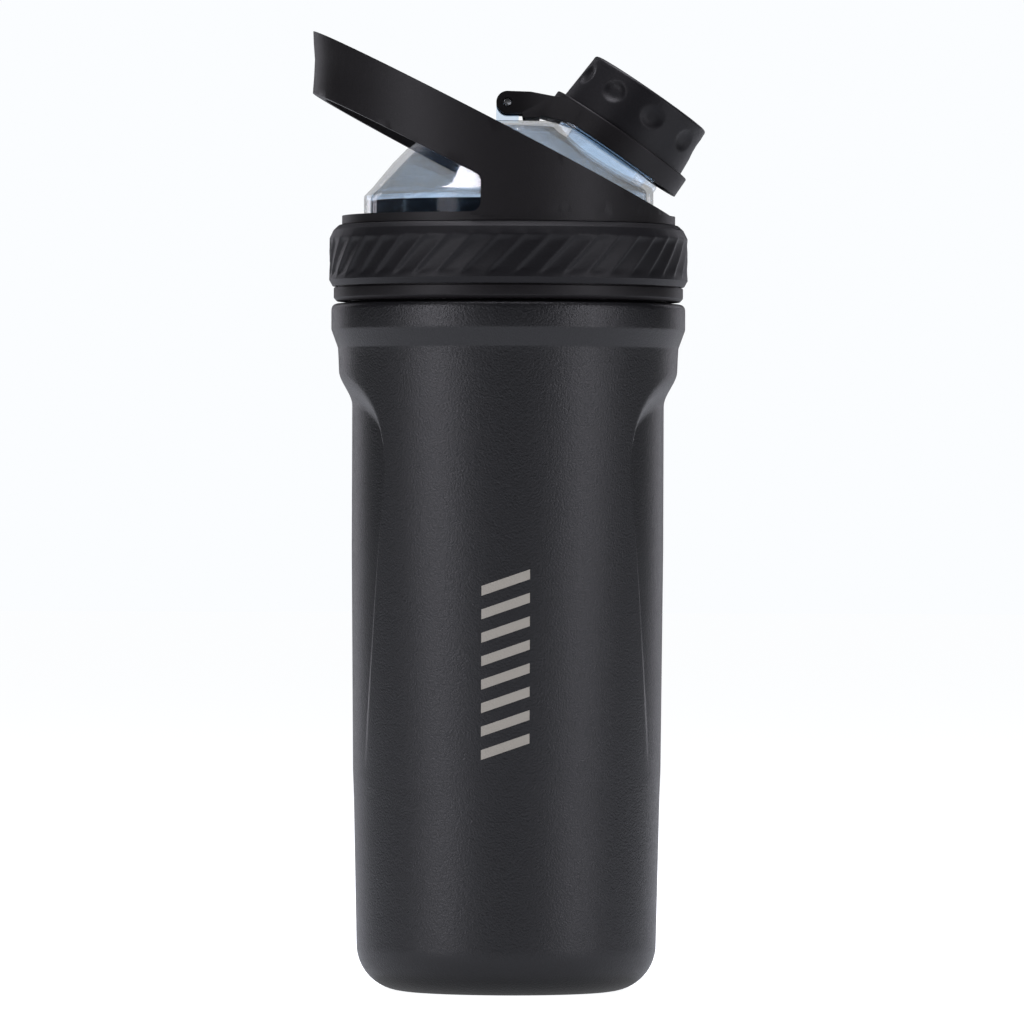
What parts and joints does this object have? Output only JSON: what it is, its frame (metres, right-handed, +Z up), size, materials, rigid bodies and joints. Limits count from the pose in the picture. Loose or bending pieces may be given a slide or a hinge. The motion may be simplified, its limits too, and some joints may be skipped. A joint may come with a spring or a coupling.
{
  "type": "protein shaker bottle",
  "caption": "Insulated steel shaker flask with a screw lid, fixed carry loop, clear dome spout, tethered screw cap and mixing grid.",
  "frame": {"origin": "centre of the flat base, on the surface the bottle stands on", "axes": "+Z up along the flask's axis, +X towards the drinking spout, -X towards the end of the carry loop"},
  "size_m": [0.102, 0.0932, 0.2491],
  "materials": {
    "powder_coat": "fine-textured black powder coat",
    "steel": "electropolished stainless steel",
    "black_plastic": "moulded black polypropylene, fine matte texture",
    "soft_black": "soft-touch black elastomer",
    "black_silicone": "black silicone",
    "clear_plastic": "clear copolyester with a faint blue-grey tint",
    "getter": "sintered getter metal"
  },
  "bodies": {
    "flask": {"outer_shell": "powder_coat", "base_plate": "powder_coat", "inner_liner": "steel", "getter_pill": "getter"},
    "gasket": {"lid_gasket": "black_silicone"},
    "seal": {"dome_seal": "black_silicone"},
    "lid": {"lid_collar": "black_plastic", "grip_ring": "soft_black", "carry_cover": "black_plastic", "clear_dome": "clear_plastic", "hinge_pin": "steel"},
    "mixer": {"mixer_grid": "black_plastic"},
    "tether": {"tether_ring": "black_plastic"},
    "cap_disc": {"cap_seal": "black_silicone"},
    "cap": {"cap_shell": "soft_black", "cap_core": "black_plastic"}
  },
  "joints": [
    {"name": "lid_lift", "type": "slide", "parent": "flask", "child": "gasket", "axis": [0, 0, 1], "range_m": [0, 0.08]},
    {"name": "lid_rise", "type": "slide", "parent": "gasket", "child": "seal", "axis": [0, 0, 1], "range_m": [0, 0.00901]},
    {"name": "lid_unscrew", "type": "hinge", "parent": "seal", "child": "lid", "pos_m": [0, 0, 0.19], "axis": [0, 0, 1], "range_deg": [0, 405]},
    {"name": "mixer_pull", "type": "slide", "parent": "lid", "child": "mixer", "axis": [0, 0, -1], "range_m": [0, 0.025]},
    {"name": "cap_hinge", "type": "hinge", "parent": "lid", "child": "tether", "pos_m": [-0.0004, 0, 0.2305], "axis": [0, -1, 0], "range_deg": [0, 160]},
    {"name": "cap_rise", "type": "slide", "parent": "tether", "child": "cap_disc", "axis": [0.5664, 0, 0.8241], "range_m": [0, 0.00301]},
    {"name": "cap_turn", "type": "hinge", "parent": "cap_disc", "child": "cap", "pos_m": [0.0295, 0, 0.2224], "axis": [0.5664, 0, 0.8241], "range_deg": [0, 120]}
  ],
  "couplings": [
    {"joint": "lid_rise", "follows": "lid_unscrew", "m_per_rad": 0.0012732},
    {"joint": "cap_rise", "follows": "cap_turn", "m_per_rad": 0.0014324}
  ]
}
